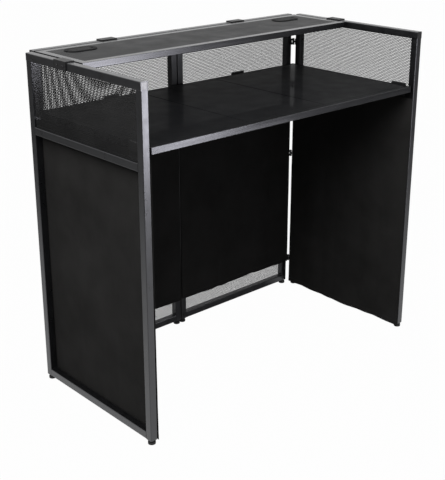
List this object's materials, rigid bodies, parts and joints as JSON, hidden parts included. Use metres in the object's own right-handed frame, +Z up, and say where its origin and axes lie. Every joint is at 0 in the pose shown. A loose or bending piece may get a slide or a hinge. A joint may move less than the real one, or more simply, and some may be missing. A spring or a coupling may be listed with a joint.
{
  "type": "dj booth",
  "caption": "Folding dj booth of hinged tube-framed panels with perforated infill and cloth scrims, a framed table across the middle and a narrow cable-ported shelf on top.",
  "frame": {"origin": "on the floor, at the bottom centre of the booth's bounding box", "axes": "+X to the operator's right, +Y towards the audience, +Z up"},
  "size_m": [1.2562, 0.632, 1.149],
  "materials": {
    "frame_tube": "satin black powder coat on square tube",
    "perforated_sheet": "black powder coat",
    "scrim_cloth": "matt black stretch cloth",
    "laminate": "semi-gloss black laminate",
    "edge_trim": "satin black powder coat on trim",
    "bracket_plate": "black powder coat on steel plate",
    "hinge_steel": "black coated steel",
    "screw_steel": "black zinc",
    "black_plastic": "fine texture",
    "rubber_foot": "matt"
  },
  "bodies": {
    "left_side": {"left_side_posts": "frame_tube", "left_side_rails": "frame_tube", "left_side_end_caps": "black_plastic", "left_side_upper_sheet": "perforated_sheet", "left_side_scrim": "scrim_cloth", "left_side_saddle": "bracket_plate", "left_side_bracket": "bracket_plate", "left_side_screws": "screw_steel", "left_corner_swing_leaves": "hinge_steel"},
    "front_left": {"front_left_posts": "frame_tube", "front_left_rails": "frame_tube", "front_left_end_caps": "black_plastic", "front_left_upper_sheet": "perforated_sheet", "front_left_lower_sheet": "perforated_sheet", "front_left_scrim": "scrim_cloth", "front_left_saddle": "bracket_plate", "front_left_bracket": "bracket_plate", "front_left_screws": "screw_steel", "left_corner_fixed_leaves": "hinge_steel", "left_corner_pins": "hinge_steel", "centre_swing_leaves": "hinge_steel"},
    "front_right": {"front_right_posts": "frame_tube", "front_right_rails": "frame_tube", "front_right_end_caps": "black_plastic", "front_right_upper_sheet": "perforated_sheet", "front_right_lower_sheet": "perforated_sheet", "front_right_scrim": "scrim_cloth", "front_right_saddle": "bracket_plate", "front_right_bracket": "bracket_plate", "front_right_screws": "screw_steel", "right_corner_fixed_leaves": "hinge_steel", "right_corner_pins": "hinge_steel", "centre_fixed_leaves": "hinge_steel", "centre_pins": "hinge_steel"},
    "right_side": {"right_side_posts": "frame_tube", "right_side_rails": "frame_tube", "right_side_end_caps": "black_plastic", "right_side_upper_sheet": "perforated_sheet", "right_side_scrim": "scrim_cloth", "right_side_saddle": "bracket_plate", "right_side_bracket": "bracket_plate", "right_side_screws": "screw_steel", "right_corner_swing_leaves": "hinge_steel"},
    "shelf": {"shelf_frame": "edge_trim", "shelf_board": "laminate", "grommet_rings": "black_plastic"},
    "table": {"table_frame": "edge_trim", "table_boards": "laminate"},
    "left_lid": {"left_grommet_lid": "black_plastic"},
    "right_lid": {"right_grommet_lid": "black_plastic"},
    "left_side_near_foot": {"left_side_near_foot": "rubber_foot"},
    "left_side_far_foot": {"left_side_far_foot": "rubber_foot"},
    "front_left_corner_foot": {"front_left_corner_foot": "rubber_foot"},
    "front_left_centre_foot": {"front_left_centre_foot": "rubber_foot"},
    "front_right_centre_foot": {"front_right_centre_foot": "rubber_foot"},
    "front_right_corner_foot": {"front_right_corner_foot": "rubber_foot"},
    "right_side_far_foot": {"right_side_far_foot": "rubber_foot"},
    "right_side_near_foot": {"right_side_near_foot": "rubber_foot"}
  },
  "joints": [
    {"name": "centre_fold", "type": "hinge", "parent": "front_right", "child": "front_left", "pos_m": [0, 0.3115, 0], "axis": [0, 0, -1], "range_deg": [0, 180]},
    {"name": "left_swing", "type": "hinge", "parent": "front_left", "child": "left_side", "pos_m": [-0.592, 0.2745, 0], "axis": [0, 0, -1], "range_deg": [0, 90]},
    {"name": "right_swing", "type": "hinge", "parent": "front_right", "child": "right_side", "pos_m": [0.592, 0.2745, 0], "axis": [0, 0, 1], "range_deg": [0, 90]},
    {"name": "shelf_lift", "type": "slide", "parent": "front_right", "child": "shelf", "axis": [0, 0, 1], "range_m": [0, 0.12]},
    {"name": "table_lift", "type": "slide", "parent": "front_right", "child": "table", "axis": [0, 0, 1], "range_m": [0, 0.14]},
    {"name": "left_lid_lift", "type": "slide", "parent": "shelf", "child": "left_lid", "axis": [0, 0, 1], "range_m": [0, 0.03]},
    {"name": "right_lid_lift", "type": "slide", "parent": "shelf", "child": "right_lid", "axis": [0, 0, 1], "range_m": [0, 0.03]},
    {"name": "left_side_near_level", "type": "hinge", "parent": "left_side", "child": "left_side_near_foot", "pos_m": [-0.61, -0.3035, 0], "axis": [0, 0, 1], "continuous": true},
    {"name": "left_side_far_level", "type": "hinge", "parent": "left_side", "child": "left_side_far_foot", "pos_m": [-0.61, 0.2565, 0], "axis": [0, 0, 1], "continuous": true},
    {"name": "front_left_corner_level", "type": "hinge", "parent": "front_left", "child": "front_left_corner_foot", "pos_m": [-0.574, 0.2925, 0], "axis": [0, 0, 1], "continuous": true},
    {"name": "front_left_centre_level", "type": "hinge", "parent": "front_left", "child": "front_left_centre_foot", "pos_m": [-0.014, 0.2925, 0], "axis": [0, 0, 1], "continuous": true},
    {"name": "front_right_centre_level", "type": "hinge", "parent": "front_right", "child": "front_right_centre_foot", "pos_m": [0.014, 0.2925, 0], "axis": [0, 0, 1], "continuous": true},
    {"name": "front_right_corner_level", "type": "hinge", "parent": "front_right", "child": "front_right_corner_foot", "pos_m": [0.574, 0.2925, 0], "axis": [0, 0, 1], "continuous": true},
    {"name": "right_side_far_level", "type": "hinge", "parent": "right_side", "child": "right_side_far_foot", "pos_m": [0.61, 0.2565, 0], "axis": [0, 0, 1], "continuous": true},
    {"name": "right_side_near_level", "type": "hinge", "parent": "right_side", "child": "right_side_near_foot", "pos_m": [0.61, -0.3035, 0], "axis": [0, 0, 1], "continuous": true}
  ]
}
